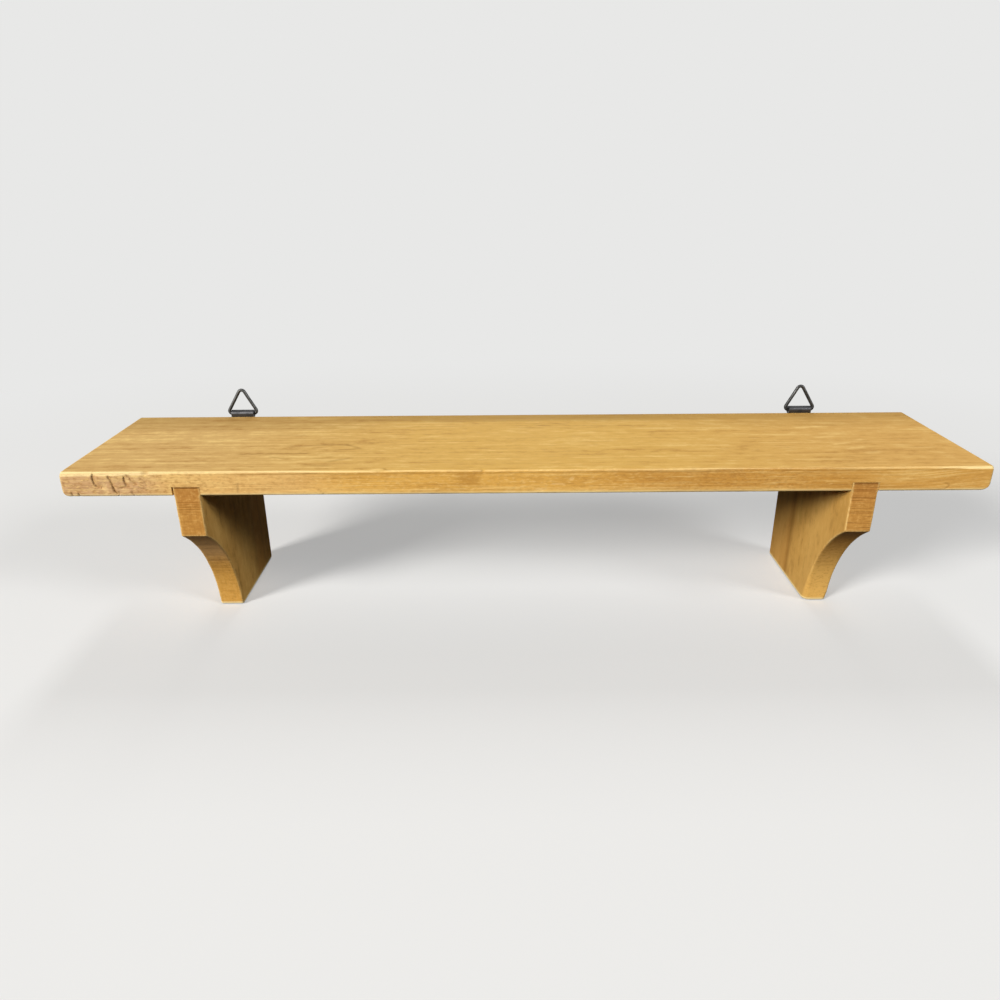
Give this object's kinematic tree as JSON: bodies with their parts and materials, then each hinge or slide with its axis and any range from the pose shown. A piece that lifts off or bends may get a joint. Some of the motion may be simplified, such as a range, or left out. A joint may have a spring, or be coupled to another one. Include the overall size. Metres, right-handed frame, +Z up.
{
  "type": "trinket shelf",
  "caption": "Small rustic wall shelf in honey-stained softwood: a plain board housed onto cove-cut brackets, with swinging triangle-ring hangers on its back edge.",
  "frame": {"origin": "on the surface under the feet, in the middle of the whole outline", "axes": "+X along the board to the viewer's right, +Y to the wall side, +Z up"},
  "size_m": [0.457, 0.1004, 0.11],
  "materials": {
    "board_wood": "honey stain under thin satin varnish, worn edges",
    "bracket_wood": "honey stain on sawn faces, worn edges",
    "hanger_steel": "dulled plated sheet",
    "ring_wire": "dulled plated wire",
    "screw_steel": "dulled plated screw"
  },
  "bodies": {
    "shelf": {"shelf_board": "board_wood", "left_bracket": "bracket_wood", "left_hanger_strap": "hanger_steel", "left_hanger_screw": "screw_steel", "right_bracket": "bracket_wood", "right_hanger_strap": "hanger_steel", "right_hanger_screw": "screw_steel"},
    "left_ring": {"left_hanger_ring": "ring_wire"},
    "right_ring": {"right_hanger_ring": "ring_wire"}
  },
  "joints": [
    {"name": "left_ring_swing", "type": "hinge", "parent": "shelf", "child": "left_ring", "pos_m": [-0.167, 0.04728, 0.0953], "axis": [1, 0, 0], "range_deg": [-160, 92]},
    {"name": "right_ring_swing", "type": "hinge", "parent": "shelf", "child": "right_ring", "pos_m": [0.167, 0.04728, 0.0953], "axis": [1, 0, 0], "range_deg": [-160, 92]}
  ]
}
